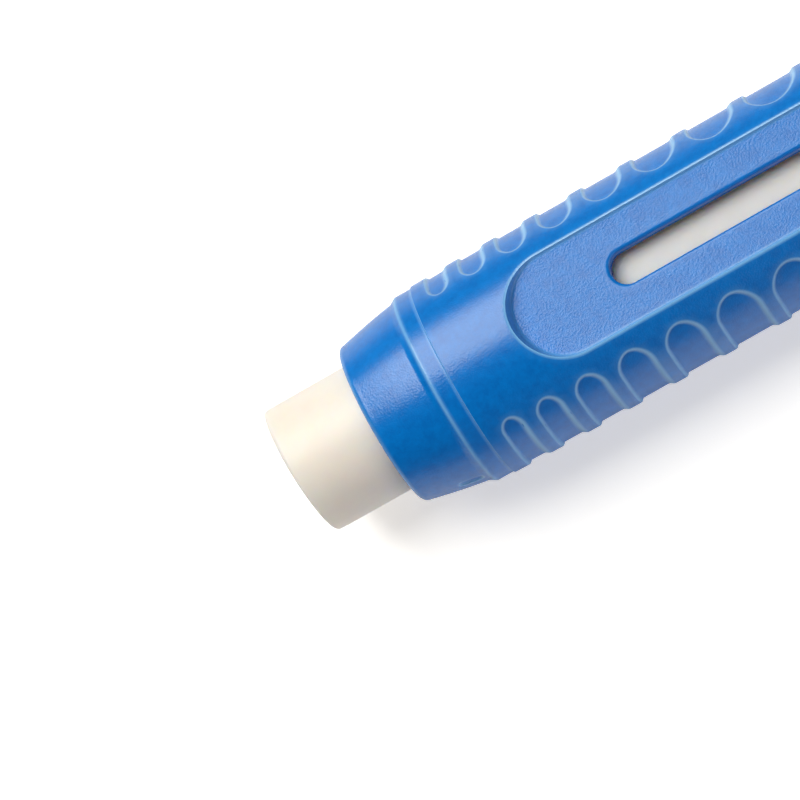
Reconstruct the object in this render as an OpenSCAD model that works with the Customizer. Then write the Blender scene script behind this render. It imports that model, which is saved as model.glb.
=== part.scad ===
// Refillable eraser holder with a slide advance, lying on its flat with the thumb slide up.
// X runs along the barrel with the eraser tip at -X, and all sizes are in mm.

/* [Eraser] */
// Diameter of the eraser stick
eraser_d = 7; // [6:0.1:8]
// Length of a new eraser stick
eraser_len = 80; // [60:1:88]
// How far the eraser stands out of the nose
tip_out = 4.7; // [1:0.1:8]
// Rounding of the eraser's two rims
tip_round = 0.2; // [0.1:0.05:0.5]

/* [Nose cone] */
// Length from the mouth to the joint with the barrel
nose_len = 4.7; // [4:0.1:8]
// Wall round the eraser at the mouth
mouth_wall = 0.83; // [0.6:0.01:1]
// Rounding of the mouth's outer rim
mouth_round = 0.35; // [0.1:0.05:0.5]
// Length of the collar band next to the joint
collar_len = 0.95; // [0.5:0.05:2]
// Length of the concave flare that runs up to the collar
flare_len = 0.5; // [0.3:0.05:1]
// Rise of that flare
flare_rise = 0.23; // [0.1:0.01:0.4]
// Length of the spigot that snaps into the barrel
spigot_len = 3.3; // [2:0.1:4]
// Length of the gate mark that moulding leaves on the nose
gate_len = 1.2; // [0.6:0.1:1.6]
// Width of the gate mark
gate_w = 0.5; // [0.3:0.05:0.7]
// Distance from the mouth to the middle of the gate mark
gate_at = 2.75; // [1.2:0.05:2.8]
// Depth of the gate mark
gate_depth = 0.06; // [0.02:0.01:0.15]
// Angle from the panel's middle round to the gate mark
gate_angle = 80; // [30:1:150]

/* [Barrel] */
// Length from the mouth to the rear end of the end cap
body_len = 115; // [112:1:150]
// Wall of the barrel
barrel_wall = 1; // [0.8:0.05:1.5]
// How much thinner the barrel is at its two ends
end_taper = 0.065; // [0.02:0.005:0.15]
// Length over which the barrel thins towards an end
taper_len = 6.7; // [3:0.1:12]
// Step down from the barrel to the collar
collar_step = 0.08; // [0.02:0.01:0.2]
// How far the underside flat stands below the collar
flat_drop = 0.01; // [0.01:0.01:0.04]

/* [Panel and slot] */
// Width of the sunk panel
panel_w = 5.4; // [5:0.1:6.4]
// Wall between the panel and the roof of the bore
panel_wall = 0.85; // [0.6:0.05:1]
// Fillet between the panel and its end walls
panel_cove = 0.25; // [0.1:0.05:0.6]
// Distance from the mouth to the front of the panel
panel_front = 8.55; // [8.4:0.05:10]
// Width of the thumb slot
slot_w = 1.72; // [1.5:0.02:2.2]
// Rounding of the slot's edge
slot_round = 0.25; // [0.1:0.01:0.35]
// Distance from the mouth to the front of the slot
slot_front = 14; // [13:0.05:18]

/* [Grip] */
// Number of recesses on each side
grip_count = 12; // [4:1:16]
// Land between the joint and the first recess
grip_start = 0.9; // [0.5:0.05:3]
// Length of the first recess along the barrel
grip_len = 1.04; // [0.8:0.02:1.4]
// Growth from each recess to the next
grip_growth = 0.23; // [0:0.01:0.25]
// Land between two recesses
grip_land = 0.86; // [0.6:0.02:1.2]
// Depth of a recess
grip_depth = 0.15; // [0.05:0.01:0.25]
// Angle from the panel's middle to the end of a recess
grip_angle = 42.5; // [38:0.5:50]

/* [Carriage] */
// Wall of the cup and reach of the carriage round the eraser
cup_wall = 0.65; // [0.5:0.05:0.9]
// Depth of eraser that the cup holds
cup_depth = 4.5; // [3:0.1:8]
// Thickness of the cup's floor
cup_floor = 0.9; // [0.6:0.1:1.5]
// Thickness of the carriage's two end walls
carriage_wall = 0.8; // [0.6:0.1:1.5]
// Radius of the boss that joins the cup to the carriage
boss_r = 1.5; // [1:0.1:2]

/* [Thumb slide] */
// Length of the thumb slide
slide_len = 12; // [9:0.5:13]
// Width of the thumb slide
slide_w = 4.6; // [3.6:0.1:5]
// Height of the thumb slide at its ends
slide_h = 2; // [1.7:0.1:2.5]
// Travel of the thumb slide when it is pressed to unlock
press_travel = 0.45; // [0.3:0.05:0.5]
// Number of grip ribs across the thumb slide
slide_ribs = 7; // [3:2:9]
// Length of the stem in the slot
stem_len = 5; // [4:0.1:6]

/* [Lock] */
// Length of the pawl
pawl_len = 6.2; // [6:0.1:8]
// Width of the pawl
pawl_w = 4.4; // [4:0.1:4.5]
// Thickness of the pawl's plate
pawl_plate = 0.88; // [0.6:0.02:1]
// Height of a rack tooth
tooth_h = 0.25; // [0.15:0.01:0.3]
// Pitch of the rack teeth
tooth_pitch = 1.5; // [1.2:0.05:2]
// Thickness of the leaf spring
spring_t = 0.15; // [0.1:0.01:0.2]
// Width of the leaf spring
spring_w = 2.4; // [1.5:0.1:3]
// Height of the leaf spring's arch
spring_h = 1; // [0.8:0.05:1.1]

/* [Clearances] */
// Gap between the eraser and the bore of the nose
nose_gap = 0.1; // [0.05:0.01:0.1]
// Gap between the eraser and the cup
cup_gap = 0.05; // [0.02:0.01:0.08]
// Gap between the eraser and the roof of the bore
roof_gap = 0.13; // [0.1:0.01:0.2]
// Gap between the carriage and the bore
run_gap = 0.175; // [0.12:0.005:0.25]
// Gap between two pieces that are pressed together
fit_gap = 0.02; // [0.01:0.01:0.03]
// Gap beside the stem in the slot and beside the pawl in its pocket
side_gap = 0.13; // [0.08:0.01:0.15]
// Gap left at each end of the carriage's travel
end_gap = 0.15; // [0.1:0.01:0.3]
// Gap between the crests of the pawl and of the rack
crest_gap = 0.05; // [0.03:0.01:0.08]
// Gap between the pressed thumb slide and the panel
press_gap = 0.05; // [0.03:0.01:0.1]

/* [End cap] */
// Length of the end cap behind the barrel
cap_len = 7; // [5:0.5:10]
// Length of the end cap's plug in the barrel
plug_len = 5; // [3:0.5:8]
// Wall of the end cap
cap_wall = 1; // [0.8:0.1:1.5]

/* [Hidden] */
blue = [0.07, 0.33, 0.76];
light_blue = [0.20, 0.47, 0.85];
white = [0.95, 0.93, 0.89];
steel = [0.72, 0.73, 0.75];
past = 1;                     // how far a cutter runs past the face it cuts
arc_steps = 6;                // straight steps in a small rounding

// Radii from the inside out
eraser_r = eraser_d / 2;
nose_bore_r = eraser_r + nose_gap;
cup_bore_r = eraser_r + cup_gap;
cup_r = cup_bore_r + cup_wall;
bore_r = cup_r + run_gap;
barrel_r = bore_r + barrel_wall;
barrel_end_r = barrel_r - end_taper;
collar_r = barrel_end_r - collar_step;
shoulder_r = collar_r - flare_rise;
mouth_r = nose_bore_r + mouth_wall;
axis_z = collar_r + flat_drop;

// Heights above the barrel's axis
roof_z = eraser_r + roof_gap;
panel_z = roof_z + panel_wall;
carriage_top = roof_z - tooth_h - run_gap;
pawl_crest = roof_z - tooth_h - crest_gap;
pawl_top = pawl_crest - tooth_h;
pawl_z = pawl_top - pawl_plate;
pocket_z = pawl_z - spring_h - fit_gap;
slide_z = panel_z + press_travel + press_gap;
stem_top = slide_z + slide_h / 2;

// Places along X, counted from the mouth
flare_front = nose_len - collar_len - flare_len;
spigot_back = nose_len + spigot_len;
eraser_back = eraser_len - tip_out;
cup_front = eraser_back - cup_depth;
cup_back = eraser_back + cup_floor;
pocket_front = cup_back + carriage_wall;
pocket_back = pocket_front + pawl_len + 2 * side_gap;
carriage_back = pocket_back + carriage_wall;
pawl_front = pocket_front + side_gap;
pawl_mid = pawl_front + pawl_len / 2;
travel_back = tip_out + 2 * end_gap;
travel_front = min(cup_front - spigot_back, pawl_mid - stem_len / 2 - slot_front) - end_gap;
slot_back = pawl_mid + stem_len / 2 + travel_back + end_gap;
panel_back = slot_back + slot_front - panel_front;
barrel_back = body_len - cap_len;
stem_w = slot_w - 2 * side_gap;
teeth_w = 0.7;                // width of each row of teeth beside the slot
rack_y = pawl_w / 2 - teeth_w / 2;
mouth_x = (tip_out - body_len) / 2;
nose_swell = 0.03;            // how far the nose swells out between the mouth and the flare
snap_len = 0.8;               // length of the snap ring on the nose cone's spigot
snap_h = 0.12;                // height of the snap ring
groove_h = snap_h + fit_gap;
mouth_bevel = 0.12;           // bevel inside the mouth
spigot_bevel = 0.25;          // bevel at the rear of the spigot
cap_r = barrel_end_r - collar_step;
plug_front = barrel_back - plug_len;
dome_len = cap_len * 0.6;
barb_h = 0.03;                // how far the cup's barbs widen the cup towards its mouth
barb_pitch = 1.1;
lead_in = 0.3;                // bevel at the cup's mouth
relief_gap = 0.6;             // depth of the moulding reliefs in the carriage's sides
saddle_drop = 0.6;            // how far the thumb slide dips in its middle
rib_h = 0.2;                  // height of the thumb slide's ribs
crown_rise = 0.1;             // how far the thumb slide's crown would rise over its two ends

// Stands what is drawn round the barrel's axis, from the mouth, in the part's own frame
module placed() {
    translate([mouth_x, 0, axis_z]) children();
}

// Lays a shape of revolution, drawn up its own axis, along the barrel
module along_barrel() {
    rotate([0, 90, 0]) children();
}

function arc_points(centre, r, from, to) =
    [for (i = [0:arc_steps]) let (a = from + (to - from) * i / arc_steps)
        centre + r * [cos(a), sin(a)]];

// Outer radius of the nose at a distance from the mouth, up to the flare
function nose_r(x) = let (t = (x - mouth_round) / (flare_front - mouth_round))
    mouth_r + (shoulder_r - mouth_r) * t + nose_swell * sin(180 * t);

// Outer radius of the barrel at a distance from its nearer end
function thinned_r(d) = barrel_r - end_taper * pow(1 - min(d, taper_len) / taper_len, 2);

// Cuts a stadium whose section is a list of [distance from its middle line, height]
module stadium_cut(front, back, half_w, section) {
    left = [for (i = [len(section) - 1:-1:0]) if (section[i][0] > 0) [-section[i][0], section[i][1]]];
    for (x = [front + half_w, back - half_w])
        translate([x, 0, 0]) rotate_extrude($fn = 64) polygon(section);
    translate([front + half_w, 0, 0])
        rotate([90, 0, 90])
            linear_extrude(back - front - 2 * half_w) polygon(concat(section, left));
}

// A round bar of the bore's size with its top cut flat
module roofed_bar(r, top, front, back) {
    intersection() {
        translate([front, 0, 0]) along_barrel() cylinder(r = r, h = back - front, $fn = 96);
        translate([front - past, -r - past, -r - past])
            cube([back - front + 2 * past, 2 * (r + past), r + past + top]);
    }
}

// Centre and length of each grip recess
function recess_len(i) = grip_len + grip_growth * i;
function recess_mid(i) = i == 0 ? nose_len + grip_start + grip_len / 2
    : recess_mid(i - 1) + (recess_len(i - 1) + recess_len(i)) / 2 + grip_land;

// Grip recesses of both sides: a row of stadiums seen from the side, cut into the barrel's skin only
module grip_recesses() {
    reach = barrel_r * cos(grip_angle);
    row_len = recess_mid(grip_count - 1) + recess_len(grip_count - 1);
    intersection() {
        along_barrel()
            difference() {
                cylinder(r = barrel_r + past, h = row_len, $fn = 96);
                translate([0, 0, -past])
                    cylinder(r = barrel_r - grip_depth, h = row_len + 2 * past, $fn = 96);
            }
        rotate([90, 0, 0])
            linear_extrude(2 * (barrel_r + past), center = true)
                for (i = [0:grip_count - 1])
                    let (r = recess_len(i) / 2)
                        translate([recess_mid(i), 0]) {
                            square([2 * r, 2 * (reach - r)], center = true);
                            for (end = [-1, 1])
                                translate([0, end * (reach - r)]) circle(r = r, $fn = 48);
                        }
    }
}

// Rack teeth under the roof, in one row on each side of the slot
module rack() {
    front = slot_front + stem_len / 2 - pawl_len / 2;
    count = floor((pawl_mid + pawl_len / 2 + travel_back - front) / tooth_pitch);
    for (side = [-1, 1])
        translate([0, side * rack_y, 0])
            for (i = [0:count - 1])
                translate([front + (i + 0.5) * tooth_pitch, 0, roof_z])
                    rack_tooth(-1);
}

// One tooth with sloping flanks, pointing up or down from the face that carries it
module rack_tooth(up) {
    root = tooth_pitch * 0.35;
    crest = tooth_pitch * 0.15;
    rotate([90, 0, 0])
        linear_extrude(teeth_w, center = true)
            polygon([[-root, -up * tooth_h / 2], [root, -up * tooth_h / 2], [root, 0],
                     [crest, up * tooth_h], [-crest, up * tooth_h], [-root, 0]]);
}

// Moulded barrel with its grip recesses, sunk panel, thumb slot and flat-roofed bore
module barrel() {
    steps = [0:6];
    outline = [for (i = steps) let (d = taper_len * i / 6) [thinned_r(d), nose_len + d]];
    outline_back = [for (i = steps) let (d = taper_len * (1 - i / 6)) [thinned_r(d), barrel_back - d]];
    panel_half = panel_w / 2;
    panel_section = concat([[0, panel_z]],
        arc_points([panel_half - panel_cove, panel_z + panel_cove], panel_cove, -90, 0),
        [[panel_half, barrel_r + past], [0, barrel_r + past]]);
    slot_half = slot_w / 2;
    slot_section = concat([[0, roof_z - past], [slot_half, roof_z - past]],
        arc_points([slot_half + slot_round, panel_z - slot_round], slot_round, 180, 90),
        [[slot_half + slot_round, panel_z + past], [0, panel_z + past]]);
    color(blue)
        placed()
            difference() {
                along_barrel()
                    rotate_extrude($fn = 128)
                        polygon(concat([[0, nose_len]], outline, outline_back, [[0, barrel_back]]));
                translate([nose_len - past, 0, 0])
                    along_barrel() cylinder(r = bore_r, h = spigot_len + past, $fn = 96);
                roofed_bar(bore_r, roof_z, nose_len + spigot_len / 2, barrel_back + past);
                along_barrel() snap_ring(groove_h);
                stadium_cut(panel_front, panel_back, panel_half, panel_section);
                stadium_cut(slot_front, slot_back, slot_half, slot_section);
                grip_recesses();
                rest_flat();
            }
    color(blue) placed() rack();
}

// Snap ring of the nose cone's spigot, and the groove that it sits in when drawn a little larger
module snap_ring(h) {
    root_r = bore_r - past / 2;
    foot = snap_len / 2 + h / 2;
    crest = snap_len / 4;
    translate([0, 0, nose_len + spigot_len * 0.6])
        rotate_extrude($fn = 96)
            polygon([[root_r, -foot - h / 2], [bore_r, -foot], [bore_r + h, -crest],
                     [bore_r + h, crest], [bore_r, foot], [root_r, foot + h / 2]]);
}

// What the underside flat takes off the barrel and the end cap
module rest_flat() {
    translate([0, -barrel_r, -axis_z - 2 * past])
        cube([body_len + past, 2 * barrel_r, 2 * past]);
}

// Moulded nose with its collar band and the spigot that snaps into the barrel
module nose_cone() {
    spigot_r = bore_r - fit_gap;
    side = [for (i = [1:5]) let (x = mouth_round + (flare_front - mouth_round) * i / 6) [nose_r(x), x]];
    flare = [for (i = [0:arc_steps]) let (t = i / arc_steps)
        [shoulder_r + flare_rise * (1 - cos(90 * t)), flare_front + flare_len * sin(90 * t)]];
    edge = collar_step;
    color(blue)
        placed() {
            difference() {
                along_barrel()
                    rotate_extrude($fn = 128)
                        polygon(concat(
                            [[nose_bore_r, spigot_back], [nose_bore_r, mouth_bevel],
                             [nose_bore_r + mouth_bevel, 0]],
                            arc_points([mouth_r - mouth_round, mouth_round], mouth_round, -90, 0),
                            side, flare,
                            [[collar_r, nose_len - edge], [collar_r - edge, nose_len],
                             [spigot_r, nose_len], [spigot_r, spigot_back - spigot_bevel],
                             [spigot_r - spigot_bevel, spigot_back]]));
                gate_mark();
            }
            along_barrel()
                difference() {
                    snap_ring(snap_h);
                    translate([0, 0, nose_len])
                        cylinder(r = spigot_r - mouth_bevel, h = spigot_len, $fn = 96);
                }
        }
}

// Shallow oval where the moulding was cut from its runner, laid on the slope of the nose
module gate_mark() {
    slope = atan((nose_r(gate_at + gate_len / 2) - nose_r(gate_at - gate_len / 2)) / gate_len);
    rotate([gate_angle, 0, 0])
        translate([gate_at, 0, nose_r(gate_at) - gate_depth])
            rotate([0, -slope, 0])
                linear_extrude(past) stadium(gate_len, gate_w);
}

// Domed cap with a cored plug that is pressed into the rear of the barrel
module end_cap() {
    dome = [for (i = [0:9]) let (a = 90 * i / 9)
        [cap_r * pow(cos(a), 0.6), body_len - dome_len + dome_len * sin(a)]];
    color(blue)
        placed()
            difference() {
                union() {
                    along_barrel()
                        rotate_extrude($fn = 128)
                            polygon(concat([[0, barrel_back]],
                                [[cap_r - collar_step, barrel_back], [cap_r, barrel_back + collar_step]],
                                dome));
                    roofed_bar(bore_r - fit_gap, roof_z - fit_gap, plug_front, barrel_back + cap_wall);
                }
                roofed_bar(bore_r - cap_wall, roof_z - cap_wall, plug_front - past, body_len - dome_len);
                rest_flat();
            }
}

// Vinyl eraser stick with both rims rounded
module eraser_stick() {
    color(white)
        placed()
            translate([-tip_out, 0, 0])
                along_barrel()
                    rotate_extrude($fn = 96)
                        polygon(concat([[0, 0]],
                            arc_points([eraser_r - tip_round, tip_round], tip_round, -90, 0),
                            arc_points([eraser_r - tip_round, eraser_len - tip_round], tip_round, 0, 90),
                            [[0, eraser_len]]));
}

// Cup whose barbs grip the rear end of the eraser, open along the top under the roof
module eraser_cup() {
    barbs = [for (i = [0:2]) let (x = cup_front + lead_in + i * barb_pitch)
        each [[cup_bore_r + barb_h, x], [cup_bore_r, x + barb_pitch * 0.8]]];
    color(light_blue)
        placed()
            intersection() {
                along_barrel()
                    rotate_extrude($fn = 96)
                        polygon(concat([[cup_r, cup_front], [cup_bore_r + lead_in, cup_front]], barbs,
                            [[cup_bore_r, eraser_back + fit_gap], [0, eraser_back + fit_gap],
                             [0, pocket_front], [boss_r - fit_gap, pocket_front],
                             [boss_r - fit_gap, cup_back], [cup_r, cup_back]]));
                roofed_bar(cup_r + past, carriage_top, cup_front - past, pocket_front + past);
            }
}

// Block that runs in the bore, with the pocket that holds the pawl and its spring
module carriage() {
    pocket_w = pawl_w + 2 * side_gap;
    color(light_blue)
        placed()
            difference() {
                roofed_bar(cup_r, carriage_top, cup_back, carriage_back);
                translate([pocket_front, -pocket_w / 2, pocket_z])
                    cube([pawl_len + 2 * side_gap, pocket_w, cup_r]);
                translate([cup_back - past, 0, 0])
                    along_barrel() cylinder(r = boss_r, h = carriage_wall + 2 * past, $fn = 64);
                for (side = [-1, 1])
                    translate([pocket_front, side * (cup_r + relief_gap) - relief_gap, -boss_r])
                        cube([pawl_len + 2 * side_gap, 2 * relief_gap, boss_r * 2]);
            }
}

// Bowed leaf spring under the pawl
module pawl_spring() {
    chord = pawl_len - 4 * side_gap;
    bow_r = chord * chord / (8 * spring_h) + spring_h / 2;
    color(steel)
        placed()
            intersection() {
                translate([pawl_mid, 0, pocket_z + spring_h - bow_r])
                    rotate([90, 0, 0])
                        difference() {
                            cylinder(r = bow_r, h = spring_w, center = true, $fn = 128);
                            cylinder(r = bow_r - spring_t, h = spring_w + past, center = true, $fn = 128);
                        }
                translate([pawl_mid - chord / 2, -spring_w, pocket_z])
                    cube([chord, 2 * spring_w, spring_h + past]);
            }
}

// Plate with teeth that face the rack, and the stem that passes through the slot
module lock_pawl() {
    count = floor(pawl_len / tooth_pitch);
    color(light_blue)
        placed() {
            translate([pawl_front, -pawl_w / 2, pawl_z])
                cube([pawl_len, pawl_w, pawl_plate]);
            stem(stem_w, stem_len, pawl_top - fit_gap, stem_top);
            for (side = [-1, 1], i = [0:count - 1])
                translate([pawl_mid + (i - (count - 1) / 2) * tooth_pitch, side * rack_y, pawl_top])
                    rack_tooth(1);
        }
}

// Flat outline with round ends
module stadium(length, width) {
    straight = length - width;
    square([straight, width], center = true);
    for (end = [-1, 1])
        translate([end * straight / 2, 0]) circle(d = width, $fn = 48);
}

// Upright bar with round ends over the middle of the pawl
module stem(width, length, low, high) {
    translate([pawl_mid, 0, low]) linear_extrude(high - low) stadium(length, width);
}

// Height of the thumb slide's dipped top, at a distance from its middle
function saddle_z(x) = slide_z + slide_h - saddle_drop * (1 - pow(2 * x / slide_len, 2));

// Ribbed, dipped thumb slide with the socket that takes the stem
module thumb_slide() {
    rib_pitch = slide_len * 0.72 / slide_ribs;
    ribs = [for (i = [slide_ribs - 1:-1:0])
        let (x = (i - (slide_ribs - 1) / 2) * rib_pitch, root = rib_pitch * 0.3, crest = rib_pitch * 0.14)
            each [[x + root, saddle_z(x + root)], [x + crest, saddle_z(x) + rib_h],
                  [x - crest, saddle_z(x) + rib_h], [x - root, saddle_z(x - root)]]];
    side_view = concat(
        [[-slide_len, slide_z], [slide_len, slide_z], [slide_len, slide_z + slide_h],
         [slide_len / 2, slide_z + slide_h]],
        ribs, [[-slide_len / 2, slide_z + slide_h], [-slide_len, slide_z + slide_h]]);
    crown_r = slide_w * 0.8;
    color(blue)
        placed()
            difference() {
                intersection() {
                    stem(slide_w, slide_len, slide_z - past, slide_z + slide_h + past);
                    translate([pawl_mid, 0, 0])
                        rotate([90, 0, 0])
                            linear_extrude(slide_w + past, center = true) polygon(side_view);
                    translate([pawl_mid - slide_len, 0, slide_z + slide_h + crown_rise - crown_r])
                        along_barrel() cylinder(r = crown_r, h = 2 * slide_len, $fn = 128);
                }
                stem(stem_w + 2 * fit_gap, stem_len + 2 * fit_gap, slide_z - past, stem_top + fit_gap);
            }
}

barrel();
nose_cone();
end_cap();
eraser_stick();
eraser_cup();
carriage();
pawl_spring();
lock_pawl();
thumb_slide();
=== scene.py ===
import math
import random
import bmesh
import bpy
import numpy as np
from mathutils import Matrix, Vector
from mathutils.geometry import delaunay_2d_cdt
from mathutils.kdtree import KDTree


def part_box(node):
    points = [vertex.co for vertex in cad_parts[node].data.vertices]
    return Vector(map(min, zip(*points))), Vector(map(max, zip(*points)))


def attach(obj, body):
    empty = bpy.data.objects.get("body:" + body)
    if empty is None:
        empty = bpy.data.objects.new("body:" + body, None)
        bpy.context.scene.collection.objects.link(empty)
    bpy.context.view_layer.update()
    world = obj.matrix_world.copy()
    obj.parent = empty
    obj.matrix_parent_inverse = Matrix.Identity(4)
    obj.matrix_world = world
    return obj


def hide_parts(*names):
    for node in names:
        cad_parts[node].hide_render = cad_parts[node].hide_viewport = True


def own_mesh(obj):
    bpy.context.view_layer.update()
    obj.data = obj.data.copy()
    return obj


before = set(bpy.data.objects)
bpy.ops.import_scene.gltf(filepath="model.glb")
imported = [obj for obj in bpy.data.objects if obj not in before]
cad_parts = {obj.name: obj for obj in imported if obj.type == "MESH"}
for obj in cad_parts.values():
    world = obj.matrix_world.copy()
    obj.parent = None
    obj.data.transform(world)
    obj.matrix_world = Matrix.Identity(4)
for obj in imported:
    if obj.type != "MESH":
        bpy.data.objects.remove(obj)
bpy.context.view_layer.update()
print("frame loaded")

# Sizes below are in mm, counted along the barrel from the mouth and across from the barrel's axis.
mm = 0.001
place = {"mouthX": -55.15, "axisZ": 5.24}


def toFrame(points):
    points = np.asarray(points, float).reshape(-1, 3)
    return (points + np.array([place["mouthX"], 0.0, place["axisZ"]])) * mm


def linear(hexColour):
    channels = [int(hexColour[i:i + 2], 16) / 255 for i in (1, 3, 5)]
    return tuple(c / 12.92 if c <= 0.04045 else ((c + 0.055) / 1.055) ** 2.4 for c in channels) + (1.0,)


def addNode(tree, kind, links=None, **settings):
    node = tree.nodes.new(kind)
    for name, value in settings.items():
        setattr(node, name, value)
    for socket, value in (links or {}).items():
        if isinstance(value, bpy.types.NodeSocket):
            tree.links.new(value, node.inputs[socket])
        else:
            node.inputs[socket].default_value = value
    return node


def newMaterial(name, **constants):
    material = bpy.data.materials.new(name)
    material.use_nodes = True
    tree = material.node_tree
    shader = next(n for n in tree.nodes if n.type == "BSDF_PRINCIPLED")
    for socket, value in constants.items():
        shader.inputs[socket.replace("_", " ")].default_value = value
    return material, tree, shader


# Materials: sizes and heights are in mm

def finishShader(tree, shader, colour, roughness, height):
    bump = addNode(tree, "ShaderNodeBump", {"Height": height, "Distance": 1.0, "Strength": 1.0})
    tree.links.new(colour, shader.inputs["Base Color"])
    tree.links.new(roughness, shader.inputs["Roughness"])
    tree.links.new(bump.outputs["Normal"], shader.inputs["Normal"])


# Injection-moulded ABS from a spark-eroded mould: a dense blue under a satin skin that breaks up the edges of
# what it reflects. Every moulded edge is painted paler than the faces beside it, in the edge colour: a painted
# highlight. The spark pits are about 0.03 mm wide, which is too fine to show, so they are drawn about 0.1 mm
# wide.
plastic = {
    "body": "#007dd5", "deep": "#0070c6", "edge": "#93d0f8", "highlightShare": 0.7, "ior": 1.53,
    "cloudSize": 0.5, "cloudRange": (0.35, 0.65), "pitSize": 0.1, "pitHeight": 0.006, "roughness": 0.25,
    "panelPitSize": 0.09, "panelPitHeight": 0.0088, "panelRoughness": 0.32,
}


def mouldedPlastic(name, coarse=0.0):
    # Coarse is the least share of the panel's coarser finish
    material, tree, shader = newMaterial(name, IOR=plastic["ior"])
    where = addNode(tree, "ShaderNodeTexCoord").outputs["Object"]
    cloud = addNode(tree, "ShaderNodeTexNoise", {"Vector": where, "Scale": 1 / (plastic["cloudSize"] * mm),
                                                 "Detail": 4.0, "Roughness": 0.7})
    low, high = plastic["cloudRange"]
    contrast = addNode(tree, "ShaderNodeMapRange", {"Value": cloud.outputs["Fac"], "From Min": low,
                                                    "From Max": high})
    tone = addNode(tree, "ShaderNodeMix", {"Factor": contrast.outputs["Result"], "A": linear(plastic["body"]),
                                           "B": linear(plastic["deep"])}, data_type="RGBA")
    rim = addNode(tree, "ShaderNodeAttribute", attribute_name="edgeHighlight").outputs["Fac"]
    flatArea = addNode(tree, "ShaderNodeAttribute", attribute_name="coarseGrain").outputs["Fac"]
    area = addNode(tree, "ShaderNodeMath", {0: flatArea, 1: coarse}, operation="MAXIMUM").outputs[0]
    # The edge colour is mixed in along the edges as a painted highlight
    worn = addNode(tree, "ShaderNodeMath", {0: rim, 1: plastic["highlightShare"]}, operation="MULTIPLY").outputs[0]
    colour = addNode(tree, "ShaderNodeMix", {"Factor": worn, "A": tone.outputs["Result"],
                                             "B": linear(plastic["edge"])}, data_type="RGBA")
    heights = []
    for size, tall in (("pitSize", "pitHeight"), ("panelPitSize", "panelPitHeight")):
        pits = addNode(tree, "ShaderNodeTexVoronoi", {"Vector": where, "Scale": 1 / (plastic[size] * mm)})
        heights.append(addNode(tree, "ShaderNodeMath", {0: pits.outputs["Distance"], 1: plastic[tall] * mm},
                               operation="MULTIPLY").outputs[0])
    height = addNode(tree, "ShaderNodeMix", {"Factor": area, "A": heights[0], "B": heights[1]})
    spread = addNode(tree, "ShaderNodeMapRange", {"Value": area, "To Min": plastic["roughness"],
                                                  "To Max": plastic["panelRoughness"]})
    finishShader(tree, shader, colour.outputs["Result"], spread.outputs["Result"], height.outputs["Result"])
    return material


# Plasticised PVC, extruded and cut: warm white, slightly see-through at its edges, with a soft dusty sheen and
# faint draw lines along the stick.
vinyl = {
    "body": "#faf1e6", "warm": "#f3e8db", "ior": 1.53, "cloudSize": 2.5, "grainSize": 0.35, "drawSize": 0.5,
    "drawStretch": 0.06, "grainHeight": 0.005, "roughness": (0.4, 0.54),
    "seeThrough": 0.8, "lightReach": 1.7, "reachTint": (1.0, 0.8, 0.55),
}


def extrudedVinyl(name):
    material, tree, shader = newMaterial(name, IOR=vinyl["ior"], Subsurface_Weight=vinyl["seeThrough"],
                                         Subsurface_Scale=vinyl["lightReach"] * mm,
                                         Subsurface_Radius=vinyl["reachTint"])
    where = addNode(tree, "ShaderNodeTexCoord").outputs["Object"]
    drawn = addNode(tree, "ShaderNodeMapping", {"Vector": where, "Scale": (vinyl["drawStretch"], 1.0, 1.0)})
    cloud = addNode(tree, "ShaderNodeTexNoise", {"Vector": where, "Scale": 1 / (vinyl["cloudSize"] * mm),
                                                 "Detail": 4.0})
    lines = addNode(tree, "ShaderNodeTexNoise", {"Vector": drawn.outputs["Vector"],
                                                 "Scale": 1 / (vinyl["drawSize"] * mm), "Detail": 3.0})
    colour = addNode(tree, "ShaderNodeMix", {"Factor": cloud.outputs["Fac"], "A": linear(vinyl["body"]),
                                             "B": linear(vinyl["warm"])}, data_type="RGBA")
    grain = addNode(tree, "ShaderNodeTexNoise", {"Vector": where, "Scale": 1 / (vinyl["grainSize"] * mm),
                                                 "Detail": 4.0})
    both = addNode(tree, "ShaderNodeMath", {0: grain.outputs["Fac"], 1: lines.outputs["Fac"]}, operation="ADD")
    height = addNode(tree, "ShaderNodeMath", {0: both.outputs[0], 1: vinyl["grainHeight"] * mm},
                     operation="MULTIPLY")
    low, high = vinyl["roughness"]
    sheen = addNode(tree, "ShaderNodeMapRange", {"Value": grain.outputs["Fac"], "To Min": low, "To Max": high})
    finishShader(tree, shader, colour.outputs["Result"], sheen.outputs["Result"], height.outputs[0])
    return material


# Moulded acetal of the running parts: paler blue, waxy, with faint flow lines along the way that it slides.
acetal = {"body": "#2f72c8", "flow": "#3a7fd4", "ior": 1.48, "flowSize": 0.9, "flowStretch": 0.15,
          "grainSize": 0.2, "grainHeight": 0.002, "roughness": (0.29, 0.42)}


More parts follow.
